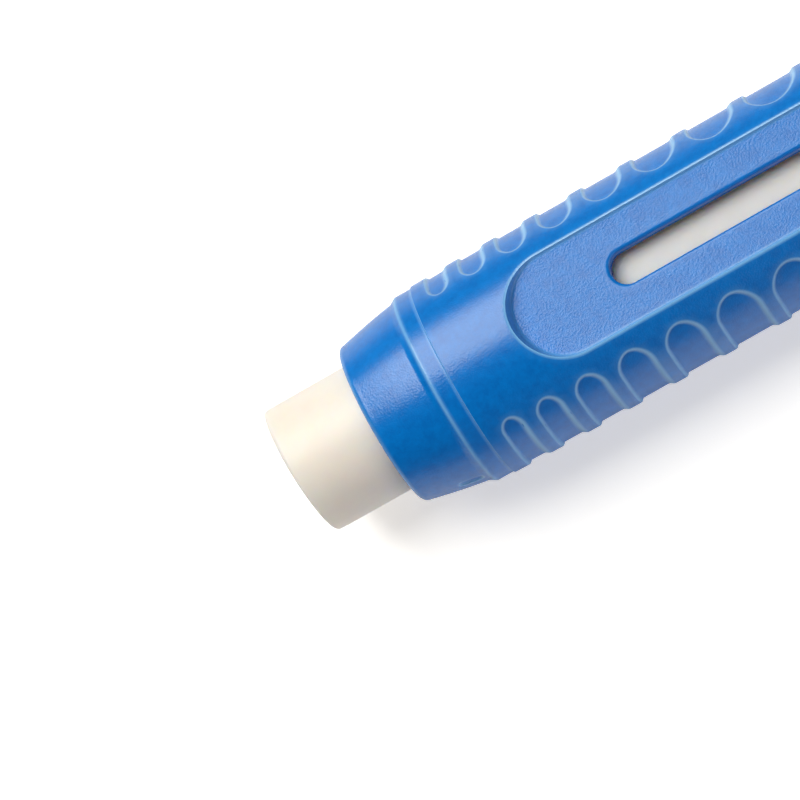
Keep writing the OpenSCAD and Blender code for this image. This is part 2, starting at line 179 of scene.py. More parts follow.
def mouldedAcetal(name):
    material, tree, shader = newMaterial(name, IOR=acetal["ior"])
    where = addNode(tree, "ShaderNodeTexCoord").outputs["Object"]
    along = addNode(tree, "ShaderNodeMapping", {"Vector": where, "Scale": (acetal["flowStretch"], 1.0, 1.0)})
    flow = addNode(tree, "ShaderNodeTexNoise", {"Vector": along.outputs["Vector"],
                                                "Scale": 1 / (acetal["flowSize"] * mm), "Detail": 3.0})
    colour = addNode(tree, "ShaderNodeMix", {"Factor": flow.outputs["Fac"], "A": linear(acetal["body"]),
                                             "B": linear(acetal["flow"])}, data_type="RGBA")
    grain = addNode(tree, "ShaderNodeTexNoise", {"Vector": where, "Scale": 1 / (acetal["grainSize"] * mm),
                                                 "Detail": 3.0})
    height = addNode(tree, "ShaderNodeMath", {0: grain.outputs["Fac"], 1: acetal["grainHeight"] * mm},
                     operation="MULTIPLY")
    low, high = acetal["roughness"]
    wax = addNode(tree, "ShaderNodeMapRange", {"Value": flow.outputs["Fac"], "To Min": low, "To Max": high})
    finishShader(tree, shader, colour.outputs["Result"], wax.outputs["Result"], height.outputs[0])
    return material


# Cold-rolled spring strip: fine rolling lines along its length.
strip = {"body": "#c3c5c8", "line": "#a9abb0", "lineSize": 0.05, "lineStretch": 0.03, "lineHeight": 0.0006,
         "roughness": (0.2, 0.38)}


def rolledSteel(name):
    material, tree, shader = newMaterial(name, Metallic=1.0)
    where = addNode(tree, "ShaderNodeTexCoord").outputs["Object"]
    along = addNode(tree, "ShaderNodeMapping", {"Vector": where, "Scale": (strip["lineStretch"], 1.0, 1.0)})
    rolled = addNode(tree, "ShaderNodeTexNoise", {"Vector": along.outputs["Vector"],
                                                  "Scale": 1 / (strip["lineSize"] * mm), "Detail": 2.0})
    colour = addNode(tree, "ShaderNodeMix", {"Factor": rolled.outputs["Fac"], "A": linear(strip["body"]),
                                             "B": linear(strip["line"])}, data_type="RGBA")
    low, high = strip["roughness"]
    spread = addNode(tree, "ShaderNodeMapRange", {"Value": rolled.outputs["Fac"], "To Min": low,
                                                  "To Max": high})
    height = addNode(tree, "ShaderNodeMath", {0: rolled.outputs["Fac"], 1: strip["lineHeight"] * mm},
                     operation="MULTIPLY")
    finishShader(tree, shader, colour.outputs["Result"], spread.outputs["Result"], height.outputs[0])
    return material


bluePlastic = mouldedPlastic("spark textured ABS")
thumbPlastic = mouldedPlastic("thumb slide ABS", coarse=0.5)
whiteVinyl = extrudedVinyl("extruded vinyl eraser")
innerPlastic = mouldedAcetal("moulded acetal")
springSteel = rolledSteel("rolled spring strip")
print("materials made")


def makePiece(name, points, faces, material, highlight=(), grain=(), weld=2e-7, sharpAngle=40):
    # Highlight is how pale each point is drawn, a painted highlight on its edges, and grain its share of the
    # panel's coarser finish
    mesh = bpy.data.meshes.new(name)
    mesh.from_pydata([tuple(p) for p in toFrame(points)], [], [tuple(f) for f in faces])
    for attribute, values in (("edgeHighlight", highlight), ("coarseGrain", grain or [0.0] * len(highlight))):
        if values:
            layer = mesh.attributes.new(attribute, "FLOAT", "POINT")
            layer.data.foreach_set("value", np.asarray(values, np.float32))
    mesh.materials.append(material)

    # Seams are welded, and faces turned outwards
    form = bmesh.new()
    form.from_mesh(mesh)
    bmesh.ops.remove_doubles(form, verts=form.verts, dist=weld)
    bmesh.ops.recalc_face_normals(form, faces=form.faces)
    openEdges = sum(1 for e in form.edges if len(e.link_faces) != 2)
    form.to_mesh(mesh)
    form.free()
    print(name, len(mesh.polygons), "faces", openEdges, "open edges")
    return smoothPiece(name, mesh, sharpAngle)


def smoothPiece(name, mesh, sharpAngle):
    mesh.polygons.foreach_set("use_smooth", [True] * len(mesh.polygons))
    mesh.set_sharp_from_angle(angle=math.radians(sharpAngle))
    mesh.update()
    piece = bpy.data.objects.new(name, mesh)
    bpy.context.scene.collection.objects.link(piece)
    return piece


def band(first, second):
    # Faces between two rings of point numbers of the same length, closed round
    count = len(first)
    return [(first[i], first[(i + 1) % count], second[(i + 1) % count], second[i]) for i in range(count)]


def arc(centre, radius, start, end, steps):
    angles = np.radians(np.linspace(start, end, steps + 1))
    return [(centre[0] + radius * math.cos(a), centre[1] + radius * math.sin(a)) for a in angles]


def nearTree(points):
    tree = KDTree(len(points))
    for i, p in enumerate(points):
        tree.insert((p[0], p[1], 0), i)
    tree.balance()
    return tree


# Barrel: its skin is drawn unrolled, as a grid with rings of points round every recess, the panel and the slot

barrel = {
    "front": 4.7, "back": 108.0, "radius": 5.375, "endTaper": 0.065, "taperLen": 6.7,
    "edgeRound": 0.05, "edgeSteps": ((30, 0.9), (60, 0.6), (90, 0.3)),      # turn and painted highlight
    "boreR": 4.375, "roofZ": 3.63, "roofFront": 8.0, "grooveMid": 6.68, "grooveHalf": 0.25, "grooveFoot": 0.55,
    "grooveDepth": 0.14,
    "recessCount": 12, "firstRecess": 1.04, "recessGrowth": 0.23, "land": 0.86, "firstLand": 0.9,
    "recessDepth": 0.15, "recessAngle": 42.5, "rearSoftness": 0.28,
    # Rings across a recess's edge: how far inside its outline, share of the depth and painted highlight
    "recessSteps": ((-0.17, 0.0, 0.12), (-0.11, 0.015, 0.62), (-0.065, 0.09, 0.97), (-0.02, 0.28, 1.0),
                    (0.025, 0.54, 0.88), (0.07, 0.78, 0.55), (0.12, 0.94, 0.2), (0.18, 1.0, 0.0)),
    "panelZ": 4.48, "panelHalf": 2.7, "panelFront": 8.55, "panelBack": 93.33, "endWallTall": 0.87,
    "rimSpread": 0.1, "wallSpread": 0.16, "covePower": 2.3, "coveDip": 0.03, "dish": 0.05, "leastDish": 0.008,
    "dishLen": 0.28, "lowWall": 0.5, "leastWallHighlight": 0.7,
    # Rings outside the panel's rim: how far out, how far under the skin and painted highlight
    "rimSteps": ((0.16, 0.0, 0.05), (0.09, 0.004, 0.5), (0.04, 0.02, 0.95)),
    # Rings down the panel's wall: share of the way and painted highlight. Then how far from the wall the floor's
    # rings lie
    "wallSteps": ((0.0, 1.0), (0.06, 0.85), (0.14, 0.5), (0.24, 0.15), (0.36, 0.0), (0.52, 0.0), (0.74, 0.0),
                  (1.0, 0.0)),
    "floorSteps": (0.08, 0.18, 0.3, 0.45, 0.62, 0.8),
    "slotHalf": 0.86, "slotFront": 14.0, "slotBack": 87.88, "slotRound": 0.18, "slotRings": (0.13, 0.05),
    "slotGrain": 0.75,
    # Fineness of the grid, and how far its points stay away from the rings, the wall and the slot
    "gridStep": 0.46, "turns": 132, "lineStep": 0.42, "recessStep": 0.24, "boreRings": 60, "ringMargin": 0.14,
    "wallMargin": 0.9, "slotMargin": 0.18, "roofMargin": 0.1,
}
panelPlan = [barrel["panel" + part] for part in ("Front", "Back", "Half")]
slotPlan = [barrel["slot" + part] for part in ("Front", "Back", "Half")]


def barrelR(x):
    b = barrel
    near = np.minimum(np.minimum(x - b["front"], b["back"] - x), b["taperLen"])
    return b["radius"] - b["endTaper"] * (1 - np.clip(near, 0, None) / b["taperLen"]) ** 2


def recessRow():
    row, start = [], barrel["front"] + barrel["firstLand"]
    for i in range(barrel["recessCount"]):
        length = barrel["firstRecess"] + barrel["recessGrowth"] * i
        row.append((start + length / 2, length / 2))
        start += length + barrel["land"]
    return row


def recessReach(half):
    # Height over and under the axis at which a recess's round ends begin
    return barrel["radius"] * math.cos(math.radians(barrel["recessAngle"])) - half


def recessOutline(middle, half, side):
    # Round-ended outline seen from the side, unrolled on to the barrel's circumference
    reach, radius = recessReach(half), barrel["radius"]
    angles = np.linspace(0, math.pi, max(18, int(half * 26)) + 1)
    straight = int(2 * reach / barrel["recessStep"])
    points = [(middle - half * math.cos(a), reach + half * math.sin(a)) for a in angles]
    points += [(middle + half, z) for z in np.linspace(reach, -reach, straight)[1:-1]]
    points += [(middle + half * math.cos(a), -reach - half * math.sin(a)) for a in angles]
    points += [(middle - half, z) for z in np.linspace(-reach, reach, straight)[1:-1]]
    return np.array([(x, side * radius * math.acos(z / radius)) for x, z in points])


def stadiumOutline(front, back, half, arcSteps, step):
    # Round-ended outline seen from above, as x and y, from the front tip round by +Y
    angles = np.linspace(0, math.pi / 2, arcSteps + 1)
    quarter = [(front + half - half * math.cos(a), half * math.sin(a)) for a in angles]
    straight = [(x, half) for x in np.linspace(front + half, back - half, int((back - front) / step))[1:-1]]
    rear = [(back - half + half * math.sin(a), half * math.cos(a)) for a in angles]
    upper = quarter + straight + rear
    return np.array(upper + [(x, -y) for x, y in reversed(upper[1:-1])])


def stadiumInset(points, front, back, half):
    # How far each point lies inside the outline, and negative outside it
    along = np.clip(points[:, 0], front + half, back - half)
    return half - np.hypot(points[:, 0] - along, points[:, 1])


def stadiumOutward(points, front, back, half):
    # The way straight out at each point of the outline
    along = np.clip(points[:, 0], front + half, back - half)
    away = np.stack([points[:, 0] - along, points[:, 1]], axis=1)
    return away / np.linalg.norm(away, axis=1)[:, None]


class Skin:
    def __init__(self):
        self.flat, self.solid, self.rim, self.grain, self.edges = [], [], [], [], []

    def add(self, flat, solid, rim, grain, closed=False):
        start = len(self.flat)
        count = len(flat)
        self.flat += [tuple(p) for p in flat]
        self.solid += [tuple(p) for p in solid]
        self.rim += list(np.broadcast_to(rim, count))
        self.grain += list(np.broadcast_to(grain, count))
        if closed:
            self.edges += [(start + i, start + (i + 1) % count) for i in range(count)]
        return list(range(start, start + count))

    def addFromAbove(self, plan, height, rim, grain):
        # A ring given by its x and y, on the upper side
        turn = np.arcsin(np.clip(plan[:, 1] / barrel["radius"], -1, 1))
        flat = np.stack([plan[:, 0], barrel["radius"] * turn], axis=1)
        return self.add(flat, np.stack([plan[:, 0], plan[:, 1], height], axis=1), rim, grain, True)

    def faces(self, skip):
        faces, source = delaunay_2d_cdt([Vector(p) for p in self.flat], self.edges, [], 0, 1e-7)[2:4]
        first = [s[0] if s else -1 for s in source]
        kept = []
        for face in faces:
            ids = [first[i] for i in face]
            if min(ids) < 0 or len(set(ids)) < 3:
                continue
            if not skip(np.mean([self.flat[i] for i in ids], axis=0)):
                kept.append(ids)
        return kept

    def line(self, x):
        # Numbers of the points at x, in order round the barrel
        found = [i for i, p in enumerate(self.flat) if abs(p[0] - x) < 1e-6]
        return sorted(found, key=lambda i: self.flat[i][1])


def barrelSolid(flat, drop=0.0):
    # Unrolled point to its place on the barrel, a little below the skin where drop says so
    radius = barrelR(flat[:, 0]) - drop
    turn = flat[:, 1] / barrel["radius"]
    return np.stack([flat[:, 0], radius * np.sin(turn), radius * np.cos(turn)], axis=1)


def addRecesses(skin, recesses):
    b = barrel
    for middle, half in recesses:
        for side in (1, -1):
            outline = recessOutline(middle, half, side)
            ahead = np.roll(outline, -1, axis=0) - np.roll(outline, 1, axis=0)
            ahead /= np.linalg.norm(ahead, axis=1)[:, None]
            inward = np.stack([ahead[:, 1], -ahead[:, 0]], axis=1) * -side
            spread = (1 - b["rearSoftness"] * inward[:, 0])[:, None]      # the rear step is the softer one
            for offset, share, highlight in b["recessSteps"]:
                flat = outline + inward * offset * spread
                skin.add(flat, barrelSolid(flat, b["recessDepth"] * share), highlight, 0.0, True)


def addPanel(skin):
    # From just outside the rim, down the cove to the panel's floor
    b = barrel
    rimLine = stadiumOutline(*panelPlan, 44, b["lineStep"])
    outward = stadiumOutward(rimLine, *panelPlan)
    rise = np.sqrt(barrelR(rimLine[:, 0]) ** 2 - rimLine[:, 1] ** 2) - b["panelZ"]
    spread = b["rimSpread"] + b["wallSpread"] * rise / b["endWallTall"]
    dish = b["dish"] * rise / b["endWallTall"] + b["leastDish"]
    for offset, sink, highlight in b["rimSteps"]:
        plan = rimLine + outward * offset
        skin.addFromAbove(plan, np.sqrt(barrelR(plan[:, 0]) ** 2 - plan[:, 1] ** 2) - sink, highlight, 0.0)
    # Painted light on the wall: paler towards its top, and most where the wall is low along the sides
    least = b["leastWallHighlight"]
    wallHighlight = least + (1 - least) * np.clip(1.25 - rise / b["lowWall"], 0, 1)
    for share, highlight in b["wallSteps"]:
        inset = spread * share
        height = (b["panelZ"] + (rise - dish) * (1 - share) ** b["covePower"]
                  - b["coveDip"] * (1 - share) ** 6 + dish * np.exp(-inset / b["dishLen"]))
        skin.addFromAbove(rimLine - outward * inset[:, None], height,
                          np.maximum(highlight, wallHighlight * (1 - 0.6 * share)), min(1.0, share * 3))
    for further in b["floorSteps"]:
        inset = spread + further
        skin.addFromAbove(rimLine - outward * inset[:, None],
                          b["panelZ"] + dish * np.exp(-inset / b["dishLen"]), 0.0, 1.0)
    return rimLine, spread


def addSlotEdge(skin):
    # Rings on the panel, then down the rounding to the slot's wall
    b = barrel
    slotLine = stadiumOutline(*slotPlan, 20, b["lineStep"])
    outward = stadiumOutward(slotLine, *slotPlan)
    bend = b["slotRound"]
    edge = [(bend + further, 0.0) for further in b["slotRings"]]
    for a in np.radians(np.arange(90, -1, -15)):
        edge.append((bend - bend * math.cos(a), bend - bend * math.sin(a)))
    for offset, drop in edge:
        height = np.full(len(slotLine), b["panelZ"] - drop)
        ring = skin.addFromAbove(slotLine + outward * offset, height, 0.0, b["slotGrain"])
    return ring


def addGrid(skin, lengths, across, recesses, rimLine, spread):
    # Plain grid between the rings, left out near them and where the slot is open
    b, radius = barrel, barrel["radius"]
    ringTree, rimTree = nearTree(skin.flat), nearTree(rimLine)
    gridX, gridW = np.meshgrid(lengths, across, indexing="ij")
    grid = np.stack([gridX.ravel(), gridW.ravel()], axis=1)
    turn = grid[:, 1] / radius
    plan = np.stack([grid[:, 0], radius * np.sin(turn)], axis=1)
    onTop = np.abs(turn) < math.pi / 2
    inset = stadiumInset(plan, *panelPlan)
    inPanel = onTop & (inset > 0)
    inSlot = onTop & (stadiumInset(plan, *slotPlan) > -b["slotRound"] - b["slotMargin"])
    border = np.isclose(grid[:, 0], lengths[0]) | np.isclose(grid[:, 0], lengths[-1])
    border |= np.isclose(np.abs(turn), math.pi)
    up = radius * np.cos(turn)
    inRecess = np.zeros(len(grid), bool)
    for middle, half in recesses:
        reach = recessReach(half)
        inRecess |= np.hypot(grid[:, 0] - middle, up - np.clip(up, -reach, reach)) < half

    def isWanted(i, x, w):
        if border[i]:
            return True
        if inSlot[i] or ringTree.find((x, w, 0))[2] < b["ringMargin"]:
            return False
        return not inPanel[i] or inset[i] >= spread[rimTree.find((*plan[i], 0))[1]] + b["wallMargin"]
    keep = [i for i, (x, w) in enumerate(grid) if isWanted(i, x, w)]
    grid, plan, inPanel, inRecess = grid[keep], plan[keep], inPanel[keep], inRecess[keep]
    solid = barrelSolid(grid, np.where(inRecess, b["recessDepth"], 0.0))
    solid[inPanel, 1] = plan[inPanel, 1]
    solid[inPanel, 2] = b["panelZ"]
    skin.add(grid, solid, 0.0, inPanel.astype(float))


# Whether a face of the skin, or of the bore's roof, lies in the open slot

def inSlotFlat(centre):
    radius = barrel["radius"]
    if abs(centre[1]) > radius * 1.5:
        return False
    spot = np.array([[centre[0], radius * math.sin(centre[1] / radius)]])
    return stadiumInset(spot, *slotPlan)[0] > 1e-3


def inSlotRoof(centre):
    if abs(centre[1]) > barrel["boreR"] * 1.2:
        return False
    spot = np.array([[centre[0], barrel["roofZ"] * math.tan(centre[1] / barrel["boreR"])]])
    return stadiumInset(spot, *slotPlan)[0] > 1e-5


def boreSkin(start, turns, corner):
    # Bore, with its groove and flat roof, on its own unrolled grid with the slot's outline
    b = barrel
    bore = Skin()

    def ring(x, r):
        flat = np.stack([np.full(len(turns), x), b["boreR"] * turns], axis=1)
        return flat, np.stack([np.full(len(turns), x), r * np.sin(turns), r * np.cos(turns)], axis=1)
    grooveR = b["boreR"] + b["grooveDepth"]
    for x, r in ((start, b["boreR"]), (b["grooveMid"] - b["grooveFoot"], b["boreR"]),
                 (b["grooveMid"] - b["grooveHalf"], grooveR), (b["grooveMid"] + b["grooveHalf"], grooveR),
                 (b["grooveMid"] + b["grooveFoot"], b["boreR"]), (b["roofFront"], b["boreR"])):
        bore.add(*ring(x, r), 0.0, 0.0)
    roofLine = stadiumOutline(*slotPlan, 20, b["lineStep"])
    slotFlat = np.stack([roofLine[:, 0], b["boreR"] * np.arctan2(roofLine[:, 1], b["roofZ"])], axis=1)
    slotSolid = np.stack([roofLine[:, 0], roofLine[:, 1], np.full(len(roofLine), b["roofZ"])], axis=1)
    slotRoof = bore.add(slotFlat, slotSolid, 0.0, 0.0, True)
    holeTree = nearTree(slotFlat)
    onRoof = np.abs(turns) < corner + 1e-6
    for x in np.linspace(b["roofFront"] + 0.001, b["back"], b["boreRings"]):
        flat, solid = ring(x, b["boreR"])
        solid[onRoof, 1] = b["roofZ"] * np.tan(turns[onRoof])
        solid[onRoof, 2] = b["roofZ"]
        hole = stadiumInset(solid[:, :2], *slotPlan)
        clear = [not (onRoof[i] and (hole[i] > 0 or holeTree.find((*flat[i], 0))[2] < b["roofMargin"]))
                 for i in range(len(turns))]
        bore.add(flat[clear], solid[clear], 0.0, 0.0)
    return bore, slotRoof


def buildBarrel():
    b, skin, recesses = barrel, Skin(), recessRow()
    corner = math.degrees(math.acos(b["roofZ"] / b["boreR"]))      # where the roof meets the round bore
    rest = math.degrees(math.acos(place["axisZ"] / (b["radius"] - b["endTaper"])))      # and the flat the skin
    turns = list(np.linspace(-180, 180, b["turns"] + 1))
    turns = sorted(set(turns + [corner, -corner, 180 - rest, rest - 180]))
    turns = np.radians([t for i, t in enumerate(turns) if i == 0 or t - turns[i - 1] > 0.05])
    begin, end = b["front"] + b["edgeRound"], b["back"] - b["edgeRound"]
    lengths = np.linspace(begin, end, int((end - begin) / b["gridStep"]) + 1)
    addRecesses(skin, recesses)
    rimLine, spread = addPanel(skin)
    slotTop = addSlotEdge(skin)
    addGrid(skin, lengths, turns * b["radius"], recesses, rimLine, spread)
    bore, slotRoof = boreSkin(begin - b["edgeRound"], turns, math.radians(corner))
    points = skin.solid + bore.solid
    rim, grain = skin.rim + bore.rim, skin.grain + bore.grain
    shift = len(skin.solid)
    faces = [tuple(f) for f in skin.faces(inSlotFlat)]
    print("barrel skin", shift, "points", len(faces), "faces")
    faces += [tuple(i + shift for i in reversed(f)) for f in bore.faces(inSlotRoof)]
    faces += band(slotTop, [i + shift for i in slotRoof])      # the slot's wall

    # End rings, from the skin round the edge and across to the bore
    def across(last, ring, direction):
        quads = [(last[i], last[i + 1], ring[i + 1], ring[i]) for i in range(len(ring) - 1)]
        return quads if direction < 0 else [q[::-1] for q in quads]
    for direction, skinX, boreX in ((1, begin, begin - b["edgeRound"]), (-1, end, b["back"])):
        last = skin.line(skinX)
        for angle, highlight in b["edgeSteps"]:
            r = float(barrelR(skinX)) - b["edgeRound"] * (1 - math.cos(math.radians(angle)))
            x = skinX - direction * b["edgeRound"] * math.sin(math.radians(angle))
            ring = list(range(len(points), len(points) + len(turns)))
            points += [(x, r * math.sin(t), r * math.cos(t)) for t in turns]
            rim += [highlight] * len(turns)
            faces += across(last, ring, direction)
            last = ring
        faces += across(last, [i + shift for i in bore.line(boreX)], direction)
    grain += [0.0] * (len(points) - len(grain))
    points = np.array(points)
    points[:, 2] = np.maximum(points[:, 2], -place["axisZ"])      # the flat that it lies on
    return makePiece("barrelShell", points, faces, bluePlastic, rim, grain)


barrelShell = buildBarrel()


# Nose cone: one turned section, with the gate mark pressed into it

nose = {
    "boreR": 3.6, "mouthBevel": ((0.22, 0.0), (0.12, 0.015), (0.05, 0.075), (0.01, 0.12), (0.0, 0.18)),
    "mouthR": 4.43, "mouthRound": 0.35, "mouthHighlight": 0.28, "swell": 0.03, "shoulderR": 5.0, "sideStep": 0.06,
    "flareFront": 3.25, "flareLen": 0.5, "flareRise": 0.23, "flareHighlight": 0.75, "collarR": 5.23, "back": 4.7,
    "collarEdge": 0.03, "spigotR": 4.355, "spigotBack": 8.0, "spigotBevel": 0.25,
    "ringMid": 6.68, "ringHalf": 0.2, "ringFoot": 0.5, "ringHeight": 0.12,
    "gateAt": 2.75, "gateAngle": -80.0, "gateLen": 1.2, "gateWidth": 0.5, "gateDepth": 0.09,
    "gateSoftness": 0.022, "gateHighlightWidth": 0.075, "nubHeight": 0.55, "nubLen": 0.2, "nubWidth": 0.1,
}


def turned(profile, turns, reshape=None):
    # A closed section of (x, r, wear) turned round the barrel's axis
    points, highlight, faces = [], [], []
    for x, r, w in profile:
        for t in turns:
            point = (x, r * math.sin(t), r * math.cos(t))
            more = 0.0
            if reshape:
                point, more = reshape(x, r, t, point)
            points.append(point)
            highlight.append(max(w, more))
    count = len(turns)
    for i in range(len(profile)):
        j = (i + 1) % len(profile)
        faces += band(range(i * count, (i + 1) * count), range(j * count, (j + 1) * count))
    return points, faces, highlight


def buildNose():
    n = nose
    profile = [(x, n["boreR"], 0) for x in (n["spigotBack"], 6.0, 4.0, 2.0)]
    profile += [(x, n["boreR"] + out, 0) for x, out in n["mouthBevel"]]
    corner = arc((n["mouthRound"], n["mouthR"] - n["mouthRound"]), n["mouthRound"], 180, 97, 12)
    # The mouth's round edge is drawn paler, a painted highlight
    profile += [(x, r, n["mouthHighlight"] * math.sin(math.pi * i / 12) ** 2) for i, (x, r) in enumerate(corner)]
    for x in np.arange(0.45, n["flareFront"] - 0.02, n["sideStep"]):
        t = (x - n["mouthRound"]) / (n["flareFront"] - n["mouthRound"])
        r = n["mouthR"] + (n["shoulderR"] - n["mouthR"]) * t + n["swell"] * math.sin(math.pi * t)
        profile.append((x, r, 0))
    for i in range(13):
        t = i / 12
        rise = t * t * (3 - 2 * t) * 0.35 + 0.65 * (1 - math.cos(math.pi / 2 * t))
        # The flare's top is drawn paler, a painted highlight
        highlight = n["flareHighlight"] * math.exp(-((t - 0.97) / 0.16) ** 2)
        profile.append((n["flareFront"] + n["flareLen"] * t, n["shoulderR"] + n["flareRise"] * rise, highlight))
    top, edge = n["flareFront"] + n["flareLen"], n["back"] - n["collarEdge"]
    # The collar's front and back edges are drawn paler, a painted highlight
    profile += [(top + 0.05, n["collarR"] + 0.006, 0.6), (top + 0.11, n["collarR"] + 0.004, 0.2),
                (top + 0.2, n["collarR"], 0), (top + 0.5, n["collarR"], 0),
                (n["back"] - 0.16, n["collarR"], 0), (edge, n["collarR"] - 0.005, 0.45)]
    profile += [(x, r, 0.3) for x, r in arc((edge, n["collarR"] - n["collarEdge"]), n["collarEdge"], 60, 0, 4)]
    ringR = n["spigotR"] + n["ringHeight"]
    profile += [(n["back"], n["spigotR"] + 0.01, 0), (n["back"] + 0.02, n["spigotR"], 0),
                (n["ringMid"] - n["ringFoot"], n["spigotR"], 0), (n["ringMid"] - n["ringHalf"], ringR, 0),
                (n["ringMid"] + n["ringHalf"], ringR, 0), (n["ringMid"] + n["ringFoot"], n["spigotR"], 0),
                (n["spigotBack"] - n["spigotBevel"], n["spigotR"], 0),
                (n["spigotBack"], n["spigotR"] - n["spigotBevel"], 0)]
    gate = math.radians(n["gateAngle"])
    plain = np.radians(np.arange(0, 360, 2.5)) - math.pi
    near = np.radians(np.arange(-7, 7.01, 0.35)) + gate      # finer turns round the gate mark
    turns = np.array(sorted([t for t in plain if abs(t - gate) > math.radians(7.2)] + list(near)))

    def gateMark(x, r, t, point):
        if r < 4.0 or x > 4.2 or abs(t - gate) > math.radians(8):
            return point, 0.0
        along = max(0.0, abs(x - n["gateAt"]) - (n["gateLen"] - n["gateWidth"]) / 2)
        out = math.hypot(along, (t - gate) * r) - n["gateWidth"] / 2
        sink = 1 / (1 + math.exp(out / n["gateSoftness"]))
        nub = n["nubHeight"] * math.exp(-((x - n["gateAt"] - 0.15) / n["nubLen"]) ** 2
                                        - ((t - gate) * r / n["nubWidth"]) ** 2)
        r -= n["gateDepth"] * (sink - nub * sink)
        # The gate mark's rim is drawn paler, a painted highlight
        return (x, r * math.sin(t), r * math.cos(t)), math.exp(-((out - 0.02) / n["gateHighlightWidth"]) ** 2)
    points, faces, highlight = turned(profile, turns, gateMark)
    return makePiece("noseCone", points, faces, bluePlastic, highlight, sharpAngle=50)


noseCone = buildNose()


# End cap: domed rear with a cored plug

cap = {
    "front": 108.0, "back": 115.0, "radius": 5.23, "edge": 0.08, "edgeHighlight": 0.9,
    "domeLen": 4.2, "domePower": 0.6, "plugFront": 103.0, "plugR": 4.355, "plugLead": 0.12, "plugTop": 3.61,
    "coreR": 3.375, "coreTop": 2.63, "coreBack": 110.8, "poleR": 0.02,
}


def buildCap():
    c = cap
    turns = np.radians(np.linspace(-180, 180, 145)[:-1])
    profile = [(c["coreBack"], c["poleR"], 0), (c["coreBack"], c["coreR"], 0), (c["front"], c["coreR"], 0),
               (c["plugFront"], c["coreR"], 0), (c["plugFront"], c["plugR"] - c["plugLead"], 0),
               (c["plugFront"] + c["plugLead"], c["plugR"], 0), (c["front"] - 0.01, c["plugR"], 0),
               (c["front"], c["plugR"] + 0.01, 0), (c["front"], c["radius"] - 0.2, 0)]
    # The front edge's rounding is drawn paler, a painted highlight
    profile += [(x, r, c["edgeHighlight"]) for x, r in arc((c["front"] + c["edge"], c["radius"] - c["edge"]),
                                                      c["edge"], 180, 90, 4)]
    profile.append((c["front"] + 0.25, c["radius"], 0))
    for i in range(31):
        a = math.radians(90 * i / 30)
        r = c["radius"] * math.cos(a) ** c["domePower"] if i < 30 else c["poleR"]
        profile.append((c["back"] - c["domeLen"] + c["domeLen"] * math.sin(a), r, 0))

    def shaped(x, r, t, point):
        # Flat top of the plug and of its core, and the flat that the cap lies on
        z = point[2]
        if x < c["front"] + 0.001 and c["coreR"] + 0.01 < r < c["plugR"] + 0.02:
            z = min(z, c["plugTop"])
        if abs(r - c["coreR"]) < 0.001:
            z = min(z, c["coreTop"])
        return (x, point[1], max(z, -place["axisZ"])), 0.0
    points, faces, highlight = turned(profile, turns, shaped)
    return makePiece("endCap", points, faces, bluePlastic, highlight, weld=3e-5, sharpAngle=45)


endCap = buildCap()


# Eraser stick: an extruded bar whose tip is rubbed a little slanted, round and uneven

stick = {"radius": 3.5, "front": -4.85, "back": 75.3, "tipRound": 0.24, "rearRound": 0.2, "slant": 0.3,
         "slantAngle": 79.0, "slantLen": 1.2, "waves": 6, "waveHeight": (0.004, 0.012), "waveLen": 0.6,
         "chew": 0.02, "chewLen": 0.5, "poleR": 0.02}


def buildEraser():
    e = stick
    turns = np.radians(np.linspace(-180, 180, 181)[:-1])
    tip = e["front"] + e["tipRound"], e["radius"] - e["tipRound"]
    rear = e["back"] - e["rearRound"], e["radius"] - e["rearRound"]
    profile = [(e["front"], r, 0) for r in [e["poleR"], *np.linspace(0.3, tip[1], 12)]]
    profile += [(x, r, 0) for x, r in arc(tip, e["tipRound"], 180, 90, 9)[1:]]
    profile += [(x, e["radius"], 0) for x in [*np.arange(-4.2, 0.6, 0.25), *np.linspace(1, 74.5, 50)]]
    profile += [(x, r, 0) for x, r in arc(rear, e["rearRound"], 90, 0, 5)]
    profile.append((e["back"], e["poleR"], 0))
    random.seed(7)
    waves = [(random.randint(2, 7), random.uniform(0, 6.28), random.uniform(*e["waveHeight"]))
             for i in range(e["waves"])]

    def rubbed(x, r, t, point):
        share, past = r / e["radius"], x - e["front"]
        fade = max(0.0, min(1.0, (e["slantLen"] - past) / e["slantLen"]))
        lean = -math.cos(t - math.radians(e["slantAngle"])) * r / e["radius"]
        back = e["slant"] * (0.5 + 0.5 * lean) * fade
        uneven = sum(height * math.sin(count * t + turn) for count, turn, height in waves) * share ** 2
        edge = max(0.0, 1 - abs(past) / e["waveLen"])
        worn = max(0.0, 1 - abs(past - 0.1) / e["chewLen"]) * e["chew"] * (0.5 + 0.5 * math.sin(3 * t + 1))
        scale = (r - worn * share ** 4) / r
        return (x + back + max(0.0, uneven) * edge, point[1] * scale, point[2] * scale), 0.0
    points, faces = turned(profile, turns, rubbed)[:2]
    return makePiece("eraserBar", points, faces, whiteVinyl, weld=3e-5, sharpAngle=70)


eraserBar = buildEraser()


# Repeats: one tree sets a small form out in rows, and lets each row dip in its middle

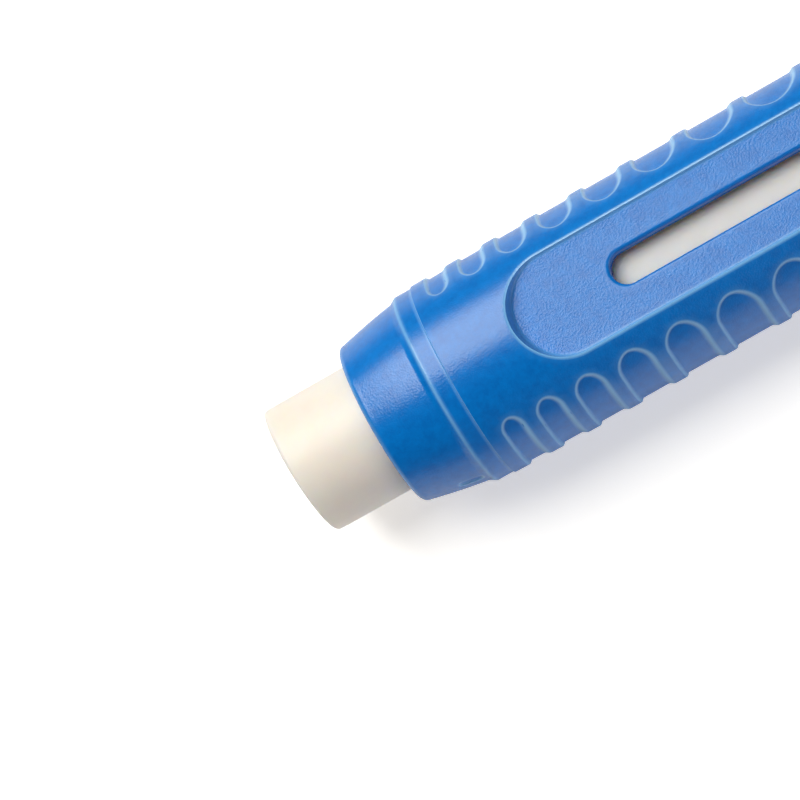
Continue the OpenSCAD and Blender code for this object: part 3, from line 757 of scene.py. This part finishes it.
def makeRowTree(name):
    tree = bpy.data.node_groups.new(name, "GeometryNodeTree")
    face = tree.interface
    face.new_socket("Form", in_out="INPUT", socket_type="NodeSocketGeometry")
    for label, kind, value in (("Count", "Int", 5), ("Start", "Vector", (0, 0, 0)),
                               ("Step", "Vector", (0.001, 0, 0)), ("Rows", "Int", 1),
                               ("Row Step", "Vector", (0, 0.001, 0)), ("Dip", "Float", 0.0),
                               ("Finish", "Material", None)):
        socket = face.new_socket(label, in_out="INPUT", socket_type="NodeSocket" + kind)
        if value is not None:
            socket.default_value = value
    face.new_socket("Row", in_out="OUTPUT", socket_type="NodeSocketGeometry")
    given = addNode(tree, "NodeGroupInput").outputs
    line = addNode(tree, "GeometryNodeMeshLine", {"Count": given["Count"], "Start Location": given["Start"],
                                                  "Offset": given["Step"]}, mode="OFFSET")
    last = addNode(tree, "ShaderNodeMath", {0: given["Count"], 1: 1.0}, operation="SUBTRACT").outputs[0]
    index = addNode(tree, "GeometryNodeInputIndex").outputs[0]
    share = addNode(tree, "ShaderNodeMath", {0: index, 1: last}, operation="DIVIDE").outputs[0]
    swing = addNode(tree, "ShaderNodeMath", {0: share, 1: 2.0, 2: -1.0}, operation="MULTIPLY_ADD").outputs[0]
    square = addNode(tree, "ShaderNodeMath", {0: swing, 1: swing}, operation="MULTIPLY").outputs[0]
    lift = addNode(tree, "ShaderNodeMath", {0: square, 1: given["Dip"]}, operation="MULTIPLY").outputs[0]
    upward = addNode(tree, "ShaderNodeCombineXYZ", {"Z": lift}).outputs[0]
    dipped = addNode(tree, "GeometryNodeSetPosition", {"Geometry": line.outputs[0], "Offset": upward})
    rows = addNode(tree, "GeometryNodeMeshLine", {"Count": given["Rows"], "Start Location": (0, 0, 0),
                                                  "Offset": given["Row Step"]}, mode="OFFSET")
    single = addNode(tree, "GeometryNodeInstanceOnPoints", {"Points": dipped.outputs[0],
                                                            "Instance": given["Form"]})
    several = addNode(tree, "GeometryNodeInstanceOnPoints", {"Points": rows.outputs[0],
                                                             "Instance": single.outputs[0]})
    real = addNode(tree, "GeometryNodeRealizeInstances", {"Geometry": several.outputs[0]})
    finish = addNode(tree, "GeometryNodeSetMaterial", {"Geometry": real.outputs[0],
                                                       "Material": given["Finish"]})
    addNode(tree, "NodeGroupOutput", {"Row": finish.outputs[0]})
    return tree


rowTree = makeRowTree("row of one form")


def setOut(name, points, faces, material, sharpAngle=35, **inputs):
    # The form is drawn round the origin in mm, and the row's inputs are in metres
    mesh = bpy.data.meshes.new(name + ".form")
    mesh.from_pydata([tuple(c * mm for c in p) for p in points], [], faces)
    form = bpy.data.objects.new(name + ".form", mesh)
    bpy.context.scene.collection.objects.link(form)
    row = form.modifiers.new("row", "NODES")
    row.node_group = rowTree
    sockets = {s.name: s.identifier for s in rowTree.interface.items_tree if s.in_out == "INPUT"}
    for label, value in inputs.items():
        row[sockets[label.replace("_", " ")]] = value
    row[sockets["Finish"]] = material
    bpy.context.view_layer.update()
    ready = form.evaluated_get(bpy.context.evaluated_depsgraph_get())
    made = bpy.data.meshes.new_from_object(ready)
    made.name = name
    if not made.materials:
        made.materials.append(material)
    bpy.data.objects.remove(form)
    return smoothPiece(name, made, sharpAngle)


def prism(section, low, high):
    # A closed section of (x, z) drawn out along Y
    count = len(section)
    points = [(x, low, z) for x, z in section] + [(x, high, z) for x, z in section]
    faces = [tuple(range(count)), tuple(reversed(range(count, 2 * count)))]
    faces += [((i + 1) % count, i, i + count, (i + 1) % count + count) for i in range(count)]
    return points, faces


# Rack teeth under the roof of the bore, one row on each side of the slot

rack = {"first": 14.15, "pitch": 1.5, "count": 49, "rowY": 1.85, "width": 0.7, "height": 0.25, "root": 0.525,
        "crest": 0.225, "sunk": 0.1}


def buildRack():
    r = rack
    half = [(r["root"], r["sunk"]), (r["root"], 0.0), (r["crest"] + 0.05, -r["height"] + 0.02),
            (r["crest"] - 0.03, -r["height"])]
    section = [(-r["root"], r["sunk"])] + half + [(-x, z) for x, z in reversed(half[1:])]
    points, faces = prism(section, -r["width"] / 2, r["width"] / 2)
    start = toFrame([(r["first"], -r["rowY"], barrel["roofZ"])])[0]
    return setOut("rackTeeth", points, faces, bluePlastic, Count=r["count"], Start=tuple(start),
                  Step=(r["pitch"] * mm, 0, 0), Rows=2, Row_Step=(0, 2 * r["rowY"] * mm, 0))


rackTeeth = buildRack()


# Thumb slide: a dipped and crowned saddle with ribs across it

thumb = {
    "middle": 80.23, "len": 12.0, "width": 4.6, "low": 4.98, "height": 2.0, "dip": 0.6, "crownR": 3.68,
    "crownRise": 0.1, "meetDip": 0.04, "meetLen": 0.12, "underBevel": 0.1, "edge": 0.28,
    "edgeSteps": ((0, 0), (18, 0.2), (36, 0.6), (54, 0.7), (72, 0.35), (90, 0.05)),      # turn and painted highlight
    "topRings": 12, "socketLen": 5.04, "socketW": 1.5, "socketTop": 6.0,
    "ribs": 7, "ribSpan": 8.64, "ribHeight": 0.2, "ribHalf": 0.3, "ribSunk": 0.12, "ribInset": 0.42,
    "ribSteps": 22, "ribAround": 9, "ribBow": 0.62,
}


def thumbTop(x, y):
    t = thumb
    saddle = t["low"] + t["height"] - t["dip"] * (1 - (2 * x / t["len"]) ** 2)
    crown = t["low"] + t["height"] + t["crownRise"] - t["crownR"] + math.sqrt(t["crownR"] ** 2 - y * y)
    return min(saddle, crown) - t["meetDip"] * math.exp(-abs(saddle - crown) / t["meetLen"])


def buildThumb():
    t = thumb
    half, centres = t["width"] / 2, (t["len"] - t["width"]) / 2
    outline = stadiumOutline(-t["len"] / 2, t["len"] / 2, half, 20, 0.3)
    points, faces, highlight, rings = [], [], [], []

    def ring(inset, height, level):
        start = len(points)
        for x, y in outline:
            away = np.array([x - max(-centres, min(centres, x)), y])
            away /= np.linalg.norm(away)
            px, py = x - away[0] * inset, y - away[1] * inset
            points.append((t["middle"] + px, py, height(px, py)))
            highlight.append(level)
        rings.append(list(range(start, start + len(outline))))
    # The last number of each ring is how pale it is drawn, a painted highlight on the edges
    ring(t["underBevel"], lambda x, y: t["low"], 0)
    ring(0.0, lambda x, y: t["low"] + t["underBevel"], 0.5)
    ring(0.0, lambda x, y: (t["low"] + thumbTop(x, y)) / 2, 0)
    for angle, level in t["edgeSteps"]:
        s, c = math.sin(math.radians(angle)), math.cos(math.radians(angle))
        ring(t["edge"] * (1 - c), lambda x, y, s=s: thumbTop(x, y) - t["edge"] * (1 - s), level)
    for inset in np.linspace(t["edge"] + 0.15, half - 0.02, t["topRings"]):
        ring(inset, thumbTop, 0)
    for first, second in zip(rings, rings[1:]):
        faces += band(first, second)
    faces.append(tuple(rings[-1]))

    # Underside with the stem's socket
    socket = stadiumOutline(-t["socketLen"] / 2, t["socketLen"] / 2, t["socketW"] / 2, 8, 0.6)
    size = len(socket)
    nearest = [min(range(size), key=lambda j: (socket[j][0] - x) ** 2 + (socket[j][1] - y) ** 2)
               for x, y in outline]
    lower = list(range(len(points), len(points) + size))
    upper = [i + size for i in lower]
    for z in (t["low"], t["socketTop"]):
        points += [(t["middle"] + x, y, z) for x, y in socket]
        highlight += [0] * size
    faces += band(lower, upper) + [tuple(upper)]
    for i in range(len(outline)):
        after = (i + 1) % len(outline)
        j, k = nearest[i], nearest[after]
        faces.append((rings[0][after], rings[0][i], lower[j]))
        if j != k:
            faces.append((rings[0][after], lower[j], lower[k]))
    return makePiece("thumbSlide", points, faces, thumbPlastic, highlight, weld=1e-6, sharpAngle=50)


def buildRibs():
    # One rib across the crown, with rounded ends that sink into it, set out along the saddle
    t = thumb
    steps, around = t["ribSteps"], t["ribAround"]
    span = math.asin((t["width"] / 2 - t["ribInset"]) / t["crownR"])
    points, faces = [], []
    for i in range(steps + 1):
        a = -span + 2 * span * i / steps
        tall = t["ribHeight"] * min(1.0, 4.5 * (1 - abs(2 * i / steps - 1)) + 0.05)
        y = t["crownR"] * math.sin(a)
        drop = max(0.0, (t["crownR"] - math.sqrt(t["crownR"] ** 2 - y * y)) - t["ribBow"])
        for j in range(around):
            f = j / (around - 1) * 2 - 1
            z = -t["ribSunk"] + (tall + t["ribSunk"]) * (1 - abs(f) ** 2.6)
            points.append((f * t["ribHalf"], y, z - drop))
    for i in range(steps):
        a = i * around
        faces += [(a + j, a + j + around, a + j + around + 1, a + j + 1) for j in range(around - 1)]
        faces.append((a + around - 1, a + 2 * around - 1, a + around, a))
    faces += [tuple(range(around)), tuple(reversed(range(steps * around, (steps + 1) * around)))]
    pitch = t["ribSpan"] / t["ribs"]
    reach = pitch * (t["ribs"] - 1) / 2
    start = toFrame([(t["middle"] - reach, 0, t["low"] + t["height"] - t["dip"])])[0]
    rise = t["dip"] * (2 * reach / t["len"]) ** 2
    return setOut("thumbRibs", points, faces, thumbPlastic, 50, Count=t["ribs"], Start=tuple(start),
                  Step=(pitch * mm, 0, 0), Rows=1, Dip=rise * mm)


thumbSlide = buildThumb()
thumbRibs = buildRibs()


# Leaf spring under the pawl: a bowed strip, with the share of its rise that it keeps when pressed worked out but
# not used

leaf = {"thick": 0.15, "press": 0.45, "steps": 40}


def buildLeaf():
    shift = np.array([place["mouthX"], 0, place["axisZ"]])
    low, high = (np.array(corner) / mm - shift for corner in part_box("pawl_spring"))
    middle, half, rise = (low[0] + high[0]) / 2, (high[0] - low[0]) / 2, high[2] - low[2]
    bend = half ** 2 / (2 * rise) + rise / 2
    inside = bend - leaf["thick"]
    foot = math.sqrt(inside ** 2 - (bend - rise) ** 2)
    points, faces = [], []
    for u in np.linspace(-1, 1, leaf["steps"] + 1):
        for reach, radius in ((half, bend), (foot, inside)):
            z = low[2] + math.sqrt(radius ** 2 - (u * reach) ** 2) - (bend - rise)
            points += [(middle + u * reach, y, z) for y in (low[1], high[1])]
    for i in range(0, 4 * leaf["steps"], 4):
        faces += [(i + p, i + q, i + 4 + q, i + 4 + p) for p, q in ((0, 1), (1, 3), (3, 2), (2, 0))]
    faces += [(0, 2, 3, 1), tuple(4 * leaf["steps"] + k for k in (0, 1, 3, 2))]
    piece = makePiece("leafSpring", points, faces, springSteel)
    return piece, toFrame([(middle, 0, low[2])])[0], 1 - leaf["press"] / rise


leafSpring, leafFoot, leafKeep = buildLeaf()
print("pieces made")


# What rides on what, and what each piece stands for

riders = [(barrelShell, "barrel", "blue_plastic", "barrel"), (rackTeeth, "barrel", "blue_plastic", "barrel"),
          (noseCone, "barrel", "blue_plastic", "nose_cone"), (endCap, "barrel", "blue_plastic", "end_cap"),
          (eraserBar, "eraser", "white_vinyl", "eraser_stick"),
          (thumbSlide, "button", "blue_plastic", "thumb_slide"),
          (thumbRibs, "button", "blue_plastic", "thumb_slide"),
          (leafSpring, "carriage", "spring_steel", "pawl_spring")]
for piece, body, finish, stoodFor in riders:
    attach(piece, body)
    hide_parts(stoodFor)
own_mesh(leafSpring)

for nodeName in ("carriage", "eraser_cup", "lock_pawl"):
    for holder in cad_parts[nodeName].material_slots:
        holder.material = innerPlastic
print("pieces ride on their bodies")


# Floor: matt white paper, lifted to white where the camera or a reflection looks at it, shadow kept

floorLook = {
    "size": 3.0, "drop": 2e-5, "colour": "#f6f6f5", "shade": "#f4f4f3", "darkInReflections": "#6a6a6a", "fibre": 0.5,
    "roughness": 0.9, "ior": 1.45, "specular": 0.15, "halfLen": 0.055, "sheet": (0.020, 0.090), "lift": 0.54,
    "liftTint": "#fffaf2", "gleam": 0.12,
}


def buildFloor():
    look, size, low = floorLook, floorLook["size"], -floorLook["drop"]
    mesh = bpy.data.meshes.new("paperFloor")
    corners = [(-size, -size, low), (size, -size, low), (size, size, low), (-size, size, low)]
    mesh.from_pydata(corners, [], [(0, 1, 2, 3)])
    material, tree, shader = newMaterial("white paper", Roughness=look["roughness"], IOR=look["ior"],
                                         Specular_IOR_Level=look["specular"])
    where = addNode(tree, "ShaderNodeTexCoord").outputs["Object"]
    fibre = addNode(tree, "ShaderNodeTexNoise", {"Vector": where, "Scale": 1 / (look["fibre"] * mm),
                                                 "Detail": 3.0})
    tone = addNode(tree, "ShaderNodeMix", {"Factor": fibre.outputs["Fac"], "A": linear(look["shade"]),
                                           "B": linear(look["colour"])}, data_type="RGBA")

    # How far a point lies from the object's middle line, as a share that grows past the sheet
    flat = addNode(tree, "ShaderNodeVectorMath", {0: where}, operation="ABSOLUTE").outputs[0]
    past = addNode(tree, "ShaderNodeVectorMath", {0: flat, 1: (look["halfLen"], 0, 0)}, operation="SUBTRACT")
    past = addNode(tree, "ShaderNodeVectorMath", {0: past.outputs[0], 1: (0, 0, 0)}, operation="MAXIMUM")
    reach = addNode(tree, "ShaderNodeVectorMath", {0: past.outputs[0]}, operation="LENGTH").outputs["Value"]
    near, away = look["sheet"]
    far = addNode(tree, "ShaderNodeMapRange", {"Value": reach, "From Min": near, "From Max": away},
                  interpolation_type="SMOOTHSTEP").outputs["Result"]
    # Past the sheet the paper is drawn dark grey, seen only in reflections: a painted dark reflection on the
    # object's lower side, while the camera sees it lifted to white
    ground = addNode(tree, "ShaderNodeMix", {"Factor": far, "A": tone.outputs["Result"],
                                             "B": linear(look["darkInReflections"])}, data_type="RGBA")
    path = addNode(tree, "ShaderNodeLightPath").outputs
    direct = addNode(tree, "ShaderNodeMath", {0: path["Is Camera Ray"], 1: path["Is Transmission Ray"]},
                     operation="MAXIMUM").outputs[0]
    seen = addNode(tree, "ShaderNodeMapRange", {"Value": far, "To Min": look["lift"], "To Max": 1.0})
    gleam = addNode(tree, "ShaderNodeMapRange", {"Value": far, "To Min": look["gleam"], "To Max": 0.0})
    seenLift = addNode(tree, "ShaderNodeMath", {0: seen.outputs["Result"], 1: direct}, operation="MULTIPLY")
    lift = addNode(tree, "ShaderNodeMath", {0: gleam.outputs["Result"], 1: path["Is Glossy Ray"],
                                            2: seenLift.outputs[0]}, operation="MULTIPLY_ADD")
    tint = addNode(tree, "ShaderNodeMix", {"Factor": far, "A": linear(look["liftTint"]), "B": (1, 1, 1, 1)},
                   data_type="RGBA")
    tree.links.new(tint.outputs["Result"], shader.inputs["Emission Color"])
    tree.links.new(ground.outputs["Result"], shader.inputs["Base Color"])
    tree.links.new(lift.outputs[0], shader.inputs["Emission Strength"])
    mesh.materials.append(material)
    floor = bpy.data.objects.new("paperFloor", mesh)
    bpy.context.scene.collection.objects.link(floor)


buildFloor()


# Camera: 200 mm lens, looking down on the nose with the barrel rising to the right

view = {"lean": 7.18, "roll": 11.3, "slope": 29.6, "behindMouth": 1.42, "above": 0.66, "distance": 222.0,
        "lens": 200.0, "sensor": 36.0, "clip": (0.005, 20.0)}
endways = Vector((1, 0, 0))


def viewAxes():
    # Across the barrel and straight off it, as the leaning camera sees them, then the camera's own axes
    lean, roll, slope = (math.radians(view[k]) for k in ("lean", "roll", "slope"))
    straight = Vector((0, -math.sin(roll), math.cos(roll)))
    across = Vector((0, math.cos(roll), math.sin(roll)))
    back = math.sin(lean) * endways + math.cos(lean) * straight
    along = math.cos(lean) * endways - math.sin(lean) * straight
    right = math.cos(slope) * along - math.sin(slope) * across
    up = math.sin(slope) * along + math.cos(slope) * across
    return across, straight, (right, up, back)


def placeCamera():
    across, axes = viewAxes()[::2]
    aim = Vector(toFrame([(view["behindMouth"], 0, 0)])[0]) + across * view["above"] * mm
    data = bpy.data.cameras.new("camera")
    data.lens, data.sensor_width = view["lens"], view["sensor"]
    data.clip_start, data.clip_end = view["clip"]
    camera = bpy.data.objects.new("camera", data)
    spot = aim + axes[2] * view["distance"] * mm
    camera.matrix_world = Matrix.Translation(spot) @ Matrix(axes).transposed().to_4x4()
    bpy.context.scene.collection.objects.link(camera)
    bpy.context.scene.camera = camera


placeCamera()


# Light: one large soft box on the upper side, a faint one on the lower side, and a room that is pale only low
# down. Turn is round the barrel from straight above, along is towards its ends, wide and long are half angles.

studio = {
    "target": (-20.0, 0.0, 5.0), "distance": 0.6,
    "keyBox": {"turn": 42.0, "along": -16.0, "wide": 25.0, "long": 19.0, "level": 6.1, "tint": "#fffdf8"},
    "fillBox": {"turn": -58.0, "along": 32.0, "wide": 15.0, "long": 28.0, "level": 2.05, "tint": "#e6e8f6"},
    "roomLow": "#6f757d", "roomHigh": "#2c3036", "roomFade": (0.06, 0.14),
}


def softBox(name, box):
    across, straight = viewAxes()[:2]
    spin, lean, wide, long = (math.radians(box[k]) for k in ("turn", "along", "wide", "long"))
    inPlane = math.cos(spin) * straight + math.sin(spin) * across
    away = (math.cos(lean) * inPlane + math.sin(lean) * endways).normalized()
    sideways = (math.cos(lean) * endways - math.sin(lean) * inPlane).normalized()
    data = bpy.data.lights.new(name, "AREA")
    data.shape = "RECTANGLE"
    data.size = 2 * studio["distance"] * math.tan(long)
    data.size_y = 2 * studio["distance"] * math.tan(wide)
    data.energy = box["level"] * math.pi * data.size * data.size_y
    data.color = linear(box["tint"])[:3]
    lamp = bpy.data.objects.new(name, data)
    spot = Vector([c * mm for c in studio["target"]]) + away * studio["distance"]
    turn = Matrix((sideways, away.cross(sideways), away)).transposed()
    lamp.matrix_world = Matrix.Translation(spot) @ turn.to_4x4()
    bpy.context.scene.collection.objects.link(lamp)


def buildRoom():
    world = bpy.data.worlds.new("room")
    world.use_nodes = True
    tree = world.node_tree
    background = next(n for n in tree.nodes if n.type == "BACKGROUND")
    direction = addNode(tree, "ShaderNodeTexCoord").outputs["Generated"]
    height = addNode(tree, "ShaderNodeSeparateXYZ", {0: direction}).outputs["Z"]
    low, high = studio["roomFade"]
    share = addNode(tree, "ShaderNodeMapRange", {"Value": height, "From Min": low, "From Max": high},
                    interpolation_type="SMOOTHSTEP").outputs["Result"]
    walls = addNode(tree, "ShaderNodeMix", {"Factor": share, "A": linear(studio["roomLow"]),
                                            "B": linear(studio["roomHigh"])}, data_type="RGBA")
    path = addNode(tree, "ShaderNodeLightPath").outputs
    colour = addNode(tree, "ShaderNodeMix", {"Factor": path["Is Camera Ray"], "A": walls.outputs["Result"],
                                             "B": (1, 1, 1, 1)}, data_type="RGBA")
    tree.links.new(colour.outputs["Result"], background.inputs["Color"])
    bpy.context.scene.world = world


for boxName in ("keyBox", "fillBox"):
    softBox(boxName, studio[boxName])
buildRoom()
bpy.context.scene.view_settings.view_transform = "Standard"
print("camera and light placed")
